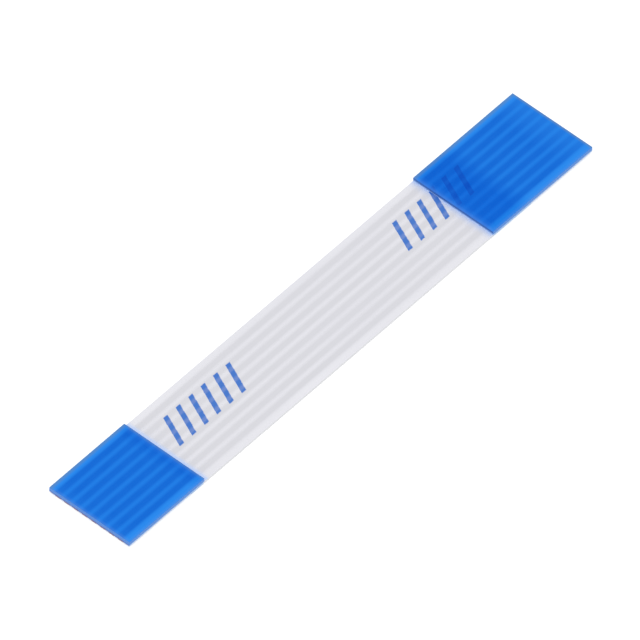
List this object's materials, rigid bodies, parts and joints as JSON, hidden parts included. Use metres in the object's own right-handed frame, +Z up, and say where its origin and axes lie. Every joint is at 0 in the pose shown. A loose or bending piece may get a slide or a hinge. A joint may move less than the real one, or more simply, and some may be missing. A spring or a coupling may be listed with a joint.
{
  "type": "flat flex cable",
  "caption": "Short white flat flex cable with ribbed insulation, a blue stiffener tape over each end and bare tinned contacts underneath.",
  "frame": {"origin": "centre of the face that the cable lies on, halfway between its two ends", "axes": "+X along the cable from the end with the shorter stiffener to the end with the longer one, +Y across it, +Z up through the stiffener tapes; the bare contacts face -Z"},
  "size_m": [0.03, 0.0044, 0.0004],
  "materials": {
    "white_film": "satin white polyester film with fine ribs over the conductors",
    "blue_tape": "smooth blue polyester tape, slightly translucent, with the conductors showing through as darker stripes",
    "tinned_copper": "satin silver tin plating, drawn along its length"
  },
  "bodies": {
    "root": {"upper_film": "white_film", "lower_film": "white_film", "stiffener_near": "blue_tape", "stiffener_far": "blue_tape", "conductor_1": "tinned_copper", "conductor_2": "tinned_copper", "conductor_3": "tinned_copper", "conductor_4": "tinned_copper", "conductor_5": "tinned_copper", "conductor_6": "tinned_copper", "conductor_7": "tinned_copper", "conductor_8": "tinned_copper"}
  },
  "joints": []
}
